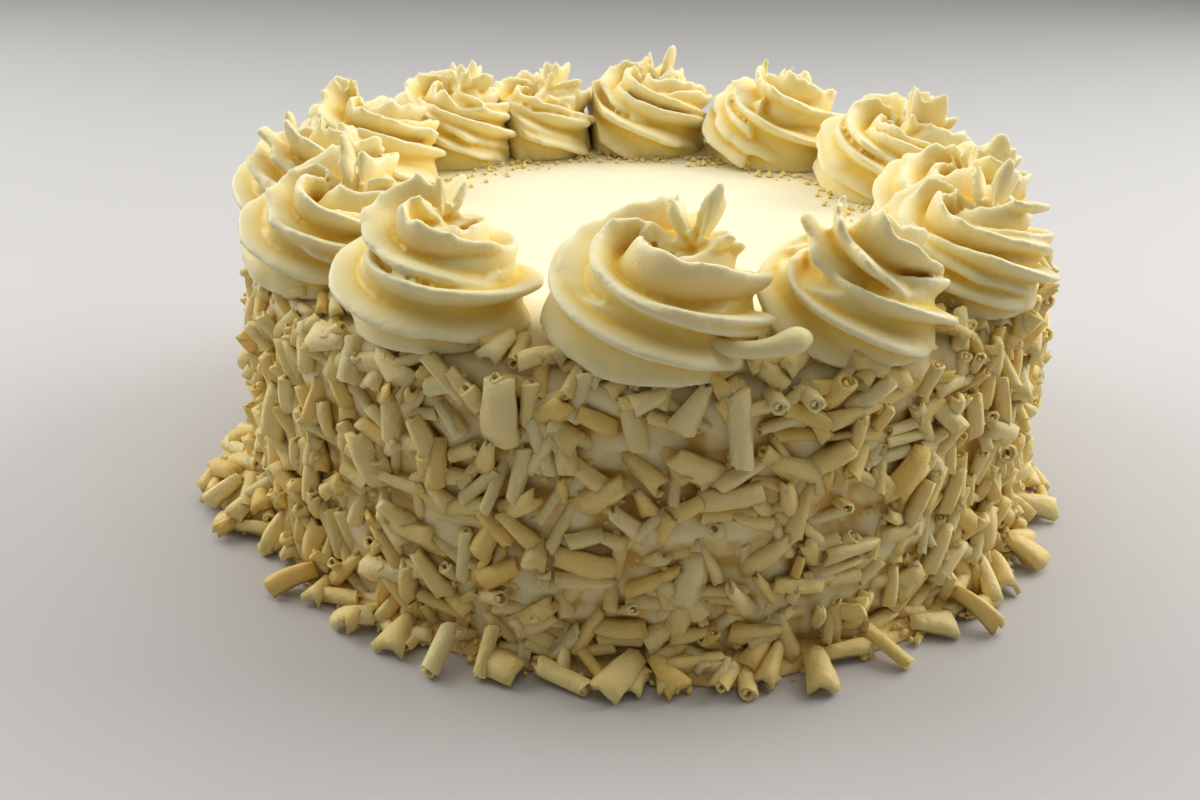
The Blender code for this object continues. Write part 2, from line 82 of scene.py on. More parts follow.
# Unevenness of the icing: its height, and how fine it is along each axis of the point it is read at.
TOP_SAG = (0.25 * MM, 30, 30, 1)
TOP_STREAKS = (0.12 * MM, 60, 240, 1)
SIDE_WAVES = (1.1 * MM, 26, 26, 41.6)
SIDE_LUMPS = (1.6 * MM, 110, 110, 110)
SIDE_GRAIN = (0.5 * MM, 320, 320, 320)
SIDE_STREAKS = (0.7 * MM, 40, 260, 1)
SLACK = 0.1 * MM                  # how far off a height a point may lie and still be on it
NEARLY = 0.99                     # of a full radius, or of an upright normal
UNDERSIDE = 0.9 * FOOT_RADIUS     # the underside stays flat in here
# How each piece's hollows are found for their painted shade: rounds of smoothing, and the depth that
# counts as a full hollow.
ICING_HOLLOW_SHADE = (12, 0.35 * MM)
ROSETTE_HOLLOW_SHADE = (24, 0.9 * MM)

# ---- the heaped crumbs at the foot ----
SKIRT_WIDTH = 5.5 * MM
SKIRT_HEIGHT = 3 * MM
SKIRT_SWELL = 0.55                # how much the skirt's size changes round the cake
SKIRT_PITCH = 4.5                 # how quickly
BANK_ANGLE = -71
BANK_SIZE = (13 * MM, 25 * MM, 12 * MM)    # its reach, half length and height
HEAP_AROUND = 480                 # flats round the heap
HEAP_OVER = 28                    # and over it
HEAP_BUMP = 0.12                  # how uneven its width is
HEAP_ROUGHNESS = 0.9 * MM
HEAP_PITCH = 260                  # how fine its bumps are
HEAP_LAYERS = 2.5                 # bumps above each other
HEAP_BITE = 0.5 * MM              # how deep it starts inside the side
HEAP_INSIDE = 4 * MM              # and how deep it may reach at most
HEAP_EDGE = 0.2 * MM              # thickness of its toe
HEAP_TONES = (0.5, 0.6, 400)      # how yellow it is, how much that changes, and how finely

# ---- the large shavings, which the solids have too ----
SEED = 23
SIDE_ROWS = 4
SIDE_COLUMNS = 22
ROW_STAGGER = 0.38
# How far shavings are moved from their even places, against the distance between these.
MOVED_AROUND = 0.3
MOVED_UP = 0.4
MOVED_AT_FOOT = 0.35
LOWEST_ON_SIDE = 6 * MM
FRONT_WIDTH = 40                  # degrees to either side of the front, where the shavings lie any way
UPRIGHT_SPREAD = 28               # how far those beyond it lean from upright, in degrees
SIDE_TILT = 40                    # how far one tilts out of the side at most, in degrees
SHOULDER_SHAVINGS = 22
SHOULDER_DEPTH = (4 * MM, 9 * MM)
FOOT_SHAVINGS = 25
FOOT_FRONT = (-52, 63)
BANK_SHAVINGS = 18
BANK_TAPER = 0.9                  # how much the bank narrows to its ends, for those that lie on it
SPREAD = (0.7548776662, 0.5698402910)    # steps that scatter these evenly
CURL_SHARE = 0.4                  # the others are shards
SHAVING_LENGTH = (9 * MM, 13 * MM)
CURL_RADIUS = (2.0 * MM, 2.7 * MM)
SHARD_WIDTH = (5 * MM, 8 * MM)
STAND_OFF = 0.8 * MM
BARE_BAND = 9 * MM
FOOT_REACH = (4 * MM, 7.5 * MM)
FOOT_SCALE = (0.95, 0.9)          # length and width of those at the foot, against the others'
FOOT_TILT = (60, 90)
# Shavings that stand out at the front: (kind, angle, height, reach, length, width, turn, tilt), where
# reach is how far the middle lies out from the side, turn 90 is upright and tilt 90 is level.
FRONT_SHAVINGS = (
    ('shard', -17, 57 * MM, 2.0 * MM, 13 * MM, 8 * MM, 90, 0),
    ('curl', -24, 60 * MM, 1.5 * MM, 8 * MM, 2.4 * MM, 20, 30),
    ('shard', -31, 60 * MM, 1.5 * MM, 10 * MM, 7 * MM, 150, 20),
    ('curl', -38, 59 * MM, 2.0 * MM, 9 * MM, 2.6 * MM, 100, 30),
    ('shard', -42, 61 * MM, 1.5 * MM, 10 * MM, 8 * MM, 10, 40),
    ('curl', 9, 56 * MM, 2.6 * MM, 15 * MM, 2.7 * MM, 96, 8),
    ('curl', 13, 61 * MM, 0.0, 9 * MM, 2.3 * MM, 90, 85),
    ('curl', 17, 61 * MM, 0.5 * MM, 9 * MM, 2.3 * MM, 90, 85),
    ('shard', 4, 60 * MM, 1.5 * MM, 10 * MM, 6 * MM, 60, 10),
)
FRONT_TONE = 0.1                  # how yellow these are, from 0 to 1
# At the front of the foot: (kind, angle, reach, turn), where turn 90 points straight outwards.
FOOT_FRONT_SHAVINGS = (
    ('shard', -46, 9.0 * MM, 70),
    ('curl', -40, 5.0 * MM, 20),
    ('shard', -35, 8.0 * MM, 30),
    ('shard', -29, 6.5 * MM, 100),
    ('curl', -23, 8.5 * MM, 95),
    ('shard', -16, 7.0 * MM, 170),
    ('curl', -9, 7.5 * MM, 160),
    ('shard', -3, 6.5 * MM, 60),
    ('shard', 2, 4.5 * MM, 120),
    ('curl', 11, 6.0 * MM, 80),
    ('shard', 19, 9.0 * MM, 75),
    ('curl', 28, 8.0 * MM, 110),
    ('shard', 36, 6.0 * MM, 150),
    ('curl', 44, 8.5 * MM, 170),
    ('shard', 51, 6.5 * MM, 45),
    ('shard', 57, 8.0 * MM, 100),
)

# ---- the small shavings between them ----
FILL_ROWS = 14
FILL_COLUMNS = 124
FILL_TOP = 62 * MM
FILL_MOVED_AROUND = 0.45
FILL_MOVED_UP = 0.5
FILL_REACH = (-0.4 * MM, 1.5 * MM)
FILL_TILT = 25                    # degrees
BARE_FRONT = 0.22                 # share of their places that is left bare at the front
BARE_BEYOND = 0.08                # and beyond it
# Nearly bare icing: degrees to either side of the front, lowest and highest, and the share left bare.
BARE_PATCH = (12, 47 * MM, 56 * MM, 0.8)
COLLAR = 480                      # shavings round the shoulder, where the rosettes overhang it
COLLAR_SLOPE = (0, 140, 90)       # degrees up the shoulder, and past 90 inwards: least, most, usual
COLLAR_REACH = 3 * MM
COLLAR_TILT = 18
COLLAR_LENGTH = 0.8               # against the other small ones
FOOT_FILL = 120
FOOT_FILL_REACH = 3.5 * MM
FOOT_FILL_TILT = (45, 100)
HEAP_SLOPE = (0, 1.5)             # where on the heap one lies, in radians up from its toe
SMALL_CURL_SHARE = 0.45
SMALL_CURL_RADIUS = (1.2 * MM, 2.1 * MM)
SMALL_SHARD_WIDTH = (2.6 * MM, 5 * MM)
SMALL_LENGTH = (6 * MM, 12 * MM)
TONES = (0, 0.9, 0.3)             # how yellow the shavings are: least, most, usual
CEILING = CAKE_TOP + 5 * MM       # no shaving stands higher

# ---- the forms that shavings and crumbs are copied from ----
CURL_FORMS = 6
CURL_STEPS = 13
CURL_ROLL = 1.6                   # turns in a rolled curl
CURL_WALL = 0.30                  # thickness of its sheet against its radius
CURL_HOLE = 0.35                  # radius of the sheet's inner edge
CURL_GROWTH = 0.5                 # how much further out its outer edge lies
CURL_SKEW = 0.5
CURL_OVAL = (0.85, 1.0)
CURL_FLARE = 0.10                 # how much wider one end is than the middle
CURL_RAGGED = 0.10                # how uneven its ends are
CURL_CREASE = math.radians(50)    # edges sharper than this stay sharp
SHARD_FORMS = 12
SHARD_WALL = (0.14, 0.24)         # thickness of a flat one against its length
SHARD_TAPER = (0.2, 0.7)
SHARD_BOW = (0.03, 0.18)
SHARD_CUP = (0.2, 1.1)
SHARD_TWIST = 0.36
SHARD_RAGGED = (0.25, 0.2, 3.5)   # how uneven its ends and its sides are, and how finely
CRUMB_FORMS = 6
CRUMB_CORNERS = (0.65, 1.25)      # how far its corners lie out
CRUMB_FLATNESS = 0.7

# ---- the crumbs ----
CRUMBS = 1500
CRUMB_SIZE = (0.9 * MM, 2.4 * MM)
CRUMBS_AT_FOOT = 0.45             # share of them
CRUMB_SPILL = (1, 1.25)           # how far out on the heap these lie
CRUMB_REACH = (-0.2 * MM, 0.8 * MM)
CRUMB_HEIGHT = (1 * MM, 60 * MM)
TOP_CRUMBS = 300                  # on the top, along the far rosettes
TOP_CRUMB_ANGLE = (180, 50)       # middle and spread
TOP_CRUMB_RADIUS = (50 * MM, 63 * MM, 61 * MM)    # least, most, usual
TOP_CRUMB_SIZE = (0.6 * MM, 2.0 * MM)
TOP_CRUMB_LIFT = 0.3              # how high its middle lies, against its size
TOP_CRUMB_TONE = (0.2, 0.7)
INSIDE = 0.2 * MM                 # clearance from the sides of the frame's box

# ---- the rosettes ----
ROSETTE_RING_RADIUS = 79 * MM
ROSETTE_RADIUS = 21 * MM
ROSETTE_HEIGHT = 18.7 * MM        # up to the middle of the rope's end
ROPE_SHARE = 0.45                 # the rope's radius against the rosette's
STEPS_A_TURN = 80
FOOT_TURNS = 0.8                  # turns that the rope lies flat before it climbs
FOOT_SQUASH = 0.76                # height of its middle there, against its radius
TURN_RISE = 0.12
RISE_BEND = 1.4                   # above 1, it climbs more and more steeply
END_SWING = 0.4                   # how far out its last turn ends, against its first
ROPE_THINNING = 0.05
END_NARROWING = 0.15              # how much thinner it gets over its last END_TURNS
END_TURNS = 0.25
END_DEPTH = 3 * MM                # depth of the hollow between the lobes of the rope's end
END_CLOSING = (0.85, 0.6)         # how nearly the hollow closes at its bottom, and how early
END_STEPS = 7
STAR_POINTS = 6
STAR_VALLEY = 0.32                # radius between the ridges, against the radius on them
CREST_SHARPNESS = 1.5
STAR_STEPS = 84
RIDGE_WAVE = 0.25                 # how much the ridges swell along the rope
WAVES_A_TURN = 2.2
CROWN_RISE = 2 * MM               # how far the ridges are pulled upwards near the rope's end
CROWN_PULL = (0.5, 0.9)           # how much of that on every ridge, and how much more on some
CROWN_TURNS = 0.35
CROWN_FRILL = 0.4                 # how jagged they get there, besides their own frill
MEANDER = 0.22                    # how far the ridges wander sideways round the rope, in radians
MEANDERS_A_TURN = 3.1
FRILLS_A_TURN = 15
FOOT_FRILL = 0.35                 # how much of a rosette's frill its foot has
ROUGHNESS = 0.35                  # finer jags, against the frills
ROUGHNESS_A_TURN = 40
WOBBLE = 0.06                     # how far the rope's turns are from round
WOBBLES_A_TURN = 2.6
ROSETTE_MESH = 0.6 * MM
ROSETTE_SOFTENING = (0.5, 2)      # strength and rounds
ROSETTE_BITE = 0.3 * MM           # how deep it stands in the icing on the top
# The icing inside the rope's turns: its radius below and above, against the rosette's, and its height.
CORES = ((0.84, 0.73, 0.65), (0.60, 0.44, 0.82))
CORE_AROUND = 48
PRESS_DEPTH = 1.2 * MM            # how deep a rosette is flattened where its neighbour presses on it

# Each rosette: angle round the ring, then its ring radius, outer radius and height against the
# usual ones, the angle at which its rope starts, the rope's turns, how high a ridge stands on the
# rope where it first passes the front, in degrees, how far the ridges turn round the rope in each
# turn, and how jagged they are.
ROSETTES = (
    (0.3, 1.02, 1.15, 1.10, -20, 2.0, -16, -0.6, 0.2),
    (28.5, 1.055, 0.98, 1.13, 150, 1.9, -10, -0.9, 0.20),
    (55, 1.04, 1.04, 1.00, 60, 2.3, -20, -0.7, 0.3),
    (81, 0.98, 1.05, 0.90, 300, 2.1, 0, -0.6, 0.4),
    (114, 0.97, 1.12, 0.92, 20, 2.3, 0, -0.8, 0.45),
    (147, 0.97, 1.12, 0.96, 240, 2.2, 20, -0.7, 0.5),
    (179, 0.96, 1.10, 0.92, 110, 2.3, 0, -0.8, 0.5),
    (205, 0.97, 1.00, 0.84, 330, 2.1, 10, -0.7, 0.5),
    (225, 1.02, 1.03, 0.98, 80, 2.4, 0, -0.7, 0.5),
    (250, 1.02, 1.06, 0.98, 180, 2.2, 20, -0.8, 0.45),
    (278, 1.02, 1.07, 0.98, 296, 2.3, 0, -0.6, 0.4),
    (302, 1.04, 1.06, 0.98, 45, 2.2, -20, -0.7, 0.3),
    (328.5, 1.055, 1.00, 1.10, 130, 2.2, -14, -0.4, 0.2),
)

# The front rosette's tail: angle round the cake, distance from its axis, height and radius, the
# last three in millimetres.
TAIL = ((2, 92, 71, 1.8), (6, 96.5, 71.5, 1.8), (9, 99.5, 71.5, 1.6), (12, 100.3, 72.3, 1.9),
        (14, 100, 73.2, 2.7), (15.3, 99.5, 73.4, 2.6), (16.2, 99, 73, 1.2))
TAIL_HOLLOW_SHADE = 0.4                 # its painted hollow shade, as if it lay this deep

# ---- floor, light and camera ----
FLOOR_SIZE = 8
LAMP_COLOUR = (1.0, 0.99, 0.97)
SURROUND = (0.80, 0.80, 0.80, 1)
SURROUND_STRENGTH = 0.27
CAMERA_PLACE = (-10.5 * MM, -294.7 * MM, 159.6 * MM)
CAMERA_DOWN = 26.65               # degrees below level
CAMERA_ROLL = 1.29
LENS = 35.4                       # millimetres
SENSOR = 36


# ---------------------------------------------------------------- modelling helpers

def start_piece():
    """Nothing selected and object mode, so that an operator acts on the new piece alone."""
    if bpy.context.object is not None and bpy.context.object.mode != 'OBJECT':
        bpy.ops.object.mode_set(mode='OBJECT')
    bpy.ops.object.select_all(action='DESELECT')


def only(obj):
    start_piece()
    obj.select_set(True)
    bpy.context.view_layer.objects.active = obj
    return obj


def named(name):
    """Gives the object that was just added its name, with its place in its mesh."""
    obj = bpy.context.object
    obj.name = name
    obj.data.name = name
    bpy.ops.object.transform_apply(location=True, rotation=True, scale=True)
    return obj


def pick(obj, kind, wanted):
    """In edit mode, selects the vertices, edges or faces that pass a test, and nothing else."""
    bpy.ops.mesh.select_mode(type=kind)
    bpy.ops.mesh.select_all(action='DESELECT')
    shape = bmesh.from_edit_mesh(obj.data)
    items = {'VERT': shape.verts, 'EDGE': shape.edges, 'FACE': shape.faces}[kind]
    for item in items:
        if wanted(item):
            item.select_set(True)
    bmesh.update_edit_mesh(obj.data)


def apply_modifiers(obj):
    only(obj)
    for modifier in list(obj.modifiers):
        bpy.ops.object.modifier_apply(modifier=modifier.name)


def mesh_object(name, mesh):
    obj = bpy.data.objects.new(name, mesh)
    bpy.context.scene.collection.objects.link(obj)
    return obj


def places_of(mesh):
    places = np.empty(len(mesh.vertices) * 3, np.float32)
    mesh.vertices.foreach_get("co", places)
    return places.reshape(-1, 3).astype(float)


def put_places(mesh, places):
    mesh.vertices.foreach_set("co", places.astype(np.float32).ravel())
    mesh.update()


def store(mesh, name, values):
    """Keeps a number on each vertex for the material to read."""
    attribute = mesh.attributes.new(name, 'FLOAT', 'POINT')
    attribute.data.foreach_set("value", np.asarray(values, np.float32))


def finish_piece(obj, slot, material, *nodes):
    obj.data.materials.clear()
    obj.data.materials.append(material)
    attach(obj, BODY)
    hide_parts(*nodes)


def ring_point(angle_deg, radius, height):
    angle = math.radians(angle_deg - 90)
    return Vector((radius * math.cos(angle), radius * math.sin(angle), height))


def signed(angle_deg):
    """The same angle, from -180 to 180."""
    return (angle_deg + 180) % 360 - 180


def either_way(draw, reach):
    return draw.uniform(-reach, reach)


def beyond(value, start, end):
    """0 up to the start, 1 from the end on, and even between them."""
    return min(max((value - start) / (end - start), 0.0), 1.0)


def noise_at(x, y, z):
    """Smooth noise from about -1 to 1. A call's last number can be just its own, to set it apart."""
    return noise.noise(Vector((x, y, z)))


def relief(pattern, x, y, z):
    height, fine_x, fine_y, fine_z = pattern
    return height * noise_at(x * fine_x, y * fine_y, z * fine_z)


def side_radius(height):
    share = min(max(height / CAKE_TOP, 0.0), 1.0)
    return FOOT_RADIUS + (SHOULDER_RADIUS - FOOT_RADIUS) * share


def paint_hollow_shade(mesh, rounds, full_depth):
    """Stores how far each vertex lies under the smoothed surface, as painted shade for the hollows: 0
    on crests, 1 in hollows.
    """
    places = places_of(mesh)
    count = len(places)
    edges = np.empty(len(mesh.edges) * 2, np.int32)
    mesh.edges.foreach_get("vertices", edges)
    start, end = edges.reshape(-1, 2).T
    links = np.maximum(np.bincount(edges, minlength=count), 1)
    smooth = places.copy()
    for _ in range(rounds):
        for axis in range(3):
            line = smooth[:, axis]
            total = np.bincount(start, line[end], count) + np.bincount(end, line[start], count)
            smooth[:, axis] = 0.4 * line + 0.6 * total / links
    normals = np.empty(count * 3, np.float32)
    mesh.vertex_normals.foreach_get("vector", normals)
    depth = ((smooth - places) * normals.reshape(-1, 3)).sum(axis=1)
    store(mesh, "painted_hollow_shade", np.clip(0.5 + 0.5 * depth / full_depth, 0, 1))


# ---------------------------------------------------------------- materials

def new_material(name):
    material = bpy.data.materials.new(name)
    material.use_nodes = True
    return material, material.node_tree, material.node_tree.nodes["Principled BSDF"]


def colour_ramp(tree, value, stops):
    ramp = tree.nodes.new("ShaderNodeValToRGB")
    elements = ramp.color_ramp.elements
    while len(elements) < len(stops):
        elements.new(0.5)
    for element, (position, colour) in zip(elements, stops):
        element.position = position
        element.color = (*colour, 1.0)
    tree.links.new(value, ramp.inputs["Fac"])
    return ramp.outputs["Color"]


def attribute_value(tree, name):
    node = tree.nodes.new("ShaderNodeAttribute")
    node.attribute_name = name
    return node.outputs["Fac"]


def noise_value(tree, scale, detail, roughness=0.55):
    where = tree.nodes.new("ShaderNodeTexCoord")
    node = tree.nodes.new("ShaderNodeTexNoise")
    node.inputs["Scale"].default_value = scale
    node.inputs["Detail"].default_value = detail
    node.inputs["Roughness"].default_value = roughness
    tree.links.new(where.outputs["Object"], node.inputs["Vector"])
    return node.outputs["Fac"]


def mixed_colour(tree, share, first, second):
    mix = tree.nodes.new("ShaderNodeMix")
    mix.data_type = 'RGBA'
    tree.links.new(share, mix.inputs["Factor"])
    for socket, colour in ((mix.inputs[6], first), (mix.inputs[7], second)):
        if isinstance(colour, tuple):
            socket.default_value = (*colour, 1.0)
        else:
            tree.links.new(colour, socket)
    return mix.outputs[2]


def add_bump(tree, shader, height, distance, strength):
    bump = tree.nodes.new("ShaderNodeBump")
    bump.inputs["Distance"].default_value = distance
    bump.inputs["Strength"].default_value = strength
    tree.links.new(height, bump.inputs["Height"])
    tree.links.new(bump.outputs["Normal"], shader.inputs["Normal"])


def set_body(shader, roughness, specular, subsurface, radius, scale):
    shader.inputs["Roughness"].default_value = roughness
    shader.inputs["Specular IOR Level"].default_value = specular
    shader.inputs["Subsurface Weight"].default_value = subsurface
    shader.inputs["Subsurface Radius"].default_value = radius
    shader.inputs["Subsurface Scale"].default_value = scale


def piped_icing_material():
    """Cream on the ridges, and painted shade and glow in the hollows between them: deep yellow where
    shade and light shining through the icing deepen the colour.
    """
    material, tree, shader = new_material("piped_icing")
    painted_hollow_shade = attribute_value(tree, "painted_hollow_shade")
    # Painted shade and glow: crests pale, hollows darker and deep yellow.
    colour = colour_ramp(tree, painted_hollow_shade, ((0.25, (0.88, 0.80, 0.53)), (0.50, (0.86, 0.74, 0.37)),
                                        (0.78, (0.86, 0.62, 0.11))))
    tree.links.new(colour, shader.inputs["Base Color"])
    set_body(shader, roughness=0.42, specular=0.35, subsurface=0.35, radius=(1.0, 0.8, 0.3),
             scale=3 * MM)
    add_bump(tree, shader, noise_value(tree, 900, detail=2.0), distance=0.25 * MM, strength=0.5)
    return material


def spread_icing_material():
    """Cream on the top, with painted shade: darker and yellower round the shoulder and side, which face
    away from the light, and in the hollows.
    """
    material, tree, shader = new_material("spread_icing")
    painted_hollow_shade = attribute_value(tree, "painted_hollow_shade")
    # Painted shade: darker and yellower the deeper a vertex lies in a hollow.
    top = colour_ramp(tree, painted_hollow_shade, ((0.25, (0.92, 0.87, 0.68)), (0.55, (0.91, 0.85, 0.63)),
                                     (0.85, (0.86, 0.74, 0.44))))
    side = colour_ramp(tree, painted_hollow_shade, ((0.20, (0.88, 0.77, 0.47)), (0.50, (0.85, 0.68, 0.33)),
                                      (0.85, (0.70, 0.47, 0.14))))
    # Painted shade: the side and shoulder, turned away from the light, take the darker, yellower
    # colours.
    colour = mixed_colour(tree, attribute_value(tree, "side"), top, side)
    tree.links.new(colour, shader.inputs["Base Color"])
    set_body(shader, roughness=0.45, specular=0.35, subsurface=0.3, radius=(1.0, 0.7, 0.35),
             scale=3 * MM)
    add_bump(tree, shader, noise_value(tree, 450, detail=4.0), distance=0.4 * MM, strength=0.5)
    return material


def chocolate_material():
    """White chocolate, yellower where a piece's tone is higher."""
    material, tree, shader = new_material("white_chocolate")
    tone = attribute_value(tree, "tone")
    colour = colour_ramp(tree, tone, ((0.0, (0.95, 0.80, 0.44)), (0.5, (0.93, 0.715, 0.30)),
                                      (1.0, (0.88, 0.60, 0.17))))
    tree.links.new(colour, shader.inputs["Base Color"])
    set_body(shader, roughness=0.42, specular=0.35, subsurface=0.35, radius=(1.0, 0.8, 0.3),
             scale=2 * MM)
    rough = noise_value(tree, 350, detail=6.0, roughness=0.65)
    add_bump(tree, shader, rough, distance=1.0 * MM, strength=0.8)
    return material


# ---------------------------------------------------------------- coat of icing

def is_level(edge, height):
    return all(abs(vertex.co.z - height) < SLACK for vertex in edge.verts)


def on_rim(edge):
    outside = all(vertex.co.xy.length > NEARLY * SHOULDER_RADIUS for vertex in edge.verts)
    return outside and is_level(edge, CAKE_TOP)


def upright(edge):
    return abs(edge.verts[0].co.z - edge.verts[1].co.z) > CAKE_TOP / 2


def coat_blank():
    """A cylinder with a rounded shoulder, in rows and rings fine enough for uneven icing."""
    start_piece()
    bpy.ops.mesh.primitive_cylinder_add(vertices=COAT_AROUND, radius=SHOULDER_RADIUS, depth=CAKE_TOP,
                                        end_fill_type='NGON', location=(0, 0, CAKE_TOP / 2))
    coat = named("spread_icing")
    bpy.ops.object.mode_set(mode='EDIT')
    pick(coat, 'EDGE', on_rim)
    bpy.ops.mesh.bevel(offset=SHOULDER_ROUND, segments=SHOULDER_STEPS, profile=0.5, affect='EDGES')
    pick(coat, 'EDGE', upright)
    bpy.ops.mesh.subdivide(number_cuts=COAT_ROWS)
    pick(coat, 'FACE', lambda face: face.normal.z > NEARLY and len(face.verts) == COAT_AROUND)
    for _ in range(COAT_RINGS):
        bpy.ops.mesh.inset(thickness=(SHOULDER_RADIUS - SHOULDER_ROUND) / (COAT_RINGS + COAT_MIDDLE))
    bpy.ops.object.mode_set(mode='OBJECT')
    return coat


def spread(place):
    """Where a point of the blank lies on the spread icing, flared to the foot and uneven."""
    x, y, z = place
    radius = math.hypot(x, y)
    if z < SLACK and radius < UNDERSIDE:
        return place
    if radius < LEVEL_RADIUS:
        return Vector((x, y, z + relief(TOP_SAG, x, y, 3) + relief(TOP_STREAKS, x, y, 8)))
    arc = math.atan2(y, x) * radius
    flared = radius + side_radius(z) - SHOULDER_RADIUS
    push = SIDE_PUSH + sum(relief(pattern, x, y, z) for pattern in (SIDE_WAVES, SIDE_LUMPS, SIDE_GRAIN))
    share = (flared + push + relief(SIDE_STREAKS, arc, z, 5)) / radius
    return Vector((x * share, y * share, z))


def coat_of_icing(material):
    coat = coat_blank()
    for vertex in coat.data.vertices:
        vertex.co = spread(vertex.co)
    # Painted shade: deeper in the icing's hollows, and over the shoulder and side, which face away from
    # the light.
    paint_hollow_shade(coat.data, *ICING_HOLLOW_SHADE)
    store(coat.data, "side", [beyond(vertex.co.xy.length, *SHADED_SIDE_RADII)
                              for vertex in coat.data.vertices])
    coat.data.shade_smooth()
    finish_piece(coat, "icing", material, CAKE_NODE)


# ---------------------------------------------------------------- heaped crumbs at the foot

def heap_size(angle_deg):
    """How wide and high the heap at the foot is at an angle: a low skirt, and the bank at the left."""
    x, y, _height = ring_point(angle_deg + 90, SKIRT_PITCH, 0)
    skirt = 1 + SKIRT_SWELL * noise_at(x, y, 2)
    reach, half_length, height = BANK_SIZE
    along = math.radians(signed(angle_deg - BANK_ANGLE)) * FOOT_RADIUS / half_length
    bank = math.sqrt(max(1 - along * along, 0.0))
    return max(SKIRT_WIDTH * skirt, reach * bank), max(SKIRT_HEIGHT * skirt, height * bank)


def foot_heap(material):
    """A ring of heaped crumbs against the foot, flat underneath, shaped from a thin ring."""
    start_piece()
    thin = 1 * MM
    bpy.ops.mesh.primitive_torus_add(major_radius=FOOT_RADIUS, minor_radius=thin,
                                     major_segments=HEAP_AROUND, minor_segments=HEAP_OVER)
    heap = named("heaped_crumbs")
    for vertex in heap.data.vertices:
        x, y, z = vertex.co * HEAP_PITCH
        angle = math.degrees(math.atan2(y, x)) + 90
        width, height = heap_size(angle)
        out = (vertex.co.xy.length - FOOT_RADIUS) / thin
        rise = max(vertex.co.z / thin, 0.0)
        radius = side_radius(0) - HEAP_BITE + width * out * (1 + HEAP_BUMP * noise_at(x, y, z + 9))
        lift = height * rise + HEAP_ROUGHNESS * rise * noise_at(x, y, rise * HEAP_LAYERS)
        vertex.co = ring_point(angle, max(radius, FOOT_RADIUS - HEAP_INSIDE), max(lift, HEAP_EDGE))
    usual, change, pitch = HEAP_TONES
    store(heap.data, "tone", [usual + change * noise.noise(vertex.co * pitch)
                              for vertex in heap.data.vertices])
    heap.data.shade_smooth()
    finish_piece(heap, "white_chocolate", material, CAKE_NODE)


# ---------------------------------------------------------------- shavings

def drawn_sizes(draw, kind=None):
    """A large shaving's kind, length and width, which is the radius of a curl."""
    if kind is None:
        kind = 'curl' if draw.random() < CURL_SHARE else 'shard'
    width = draw.uniform(*(CURL_RADIUS if kind == 'curl' else SHARD_WIDTH))
    return kind, draw.uniform(*SHAVING_LENGTH), width


def side_turn(draw, angle):
    """How a shaving on the side is turned: any way at the front, and nearly upright beyond it."""
    return draw.uniform(0, 180) if abs(signed(angle)) < FRONT_WIDTH else draw.gauss(90, UPRIGHT_SPREAD)


def side_shaving(draw, angle, height):
    """One that is pressed against the side."""
    kind, length, width = drawn_sizes(draw)
    turn = side_turn(draw, angle)
    return kind, angle, height, STAND_OFF, length, width, turn, either_way(draw, SIDE_TILT)


def foot_shaving(draw, angle, reach, height, kind=None, turn=None):
    """One that lies on the ground or on the bank, roughly level."""
    kind, length, width = drawn_sizes(draw, kind)
    turn = draw.uniform(0, 180) if turn is None else turn
    longer, wider = FOOT_SCALE
    return kind, angle, height, reach, length * longer, width * wider, turn, draw.uniform(*FOOT_TILT)


def bank_shaving(draw, around, climb):
    """One on the bank: around is -1 to 1 along it, and climb is 0 at its toe and 1 at its top."""
    reach, half_length, height = BANK_SIZE
    width = math.sqrt(1 - BANK_TAPER * around * around)
    angle = BANK_ANGLE + math.degrees(around * half_length / FOOT_RADIUS)
    slope = climb * math.pi / 2
    return foot_shaving(draw, angle, reach * width * math.cos(slope), height * width * math.sin(slope))


def large_shavings():
    """The same large shavings as the solids have, each as FRONT_SHAVINGS says it."""
    draw = random.Random(SEED)
    shavings = list(FRONT_SHAVINGS)
    row_height = (CAKE_TOP - BARE_BAND - LOWEST_ON_SIDE) / SIDE_ROWS
    for row in range(SIDE_ROWS):
        for column in range(SIDE_COLUMNS):
            angle = 360 / SIDE_COLUMNS * (column + row * ROW_STAGGER + either_way(draw, MOVED_AROUND))
            height = LOWEST_ON_SIDE + row_height * (row + 0.5 + either_way(draw, MOVED_UP))
            shavings.append(side_shaving(draw, angle, height))
    for index in range(SHOULDER_SHAVINGS):
        angle = 360 / SHOULDER_SHAVINGS * (index + either_way(draw, MOVED_AROUND))
        shavings.append(side_shaving(draw, angle, CAKE_TOP - draw.uniform(*SHOULDER_DEPTH)))
    for kind, angle, reach, turn in FOOT_FRONT_SHAVINGS:
        shavings.append(foot_shaving(draw, angle, reach, 0.0, kind, turn))
    first, last = FOOT_FRONT
    for index in range(FOOT_SHAVINGS):
        moved_on = index + 0.5 + either_way(draw, MOVED_AT_FOOT)
        angle = last + (360 - last + first) / FOOT_SHAVINGS * moved_on
        shavings.append(foot_shaving(draw, angle, draw.uniform(*FOOT_REACH), 0.0))
    for index in range(BANK_SHAVINGS):
        around, climb = ((index * step) % 1.0 for step in SPREAD)
        shavings.append(bank_shaving(draw, 2 * around - 1, climb))
    return shavings


def bare_share(angle, height):
    """How likely a place on the side has no small shaving."""
    from_front = abs(signed(angle))
    half_width, lowest, highest, share = BARE_PATCH
    if from_front < half_width and lowest < height < highest:
        return share
    return BARE_FRONT if from_front < FRONT_WIDTH else BARE_BEYOND


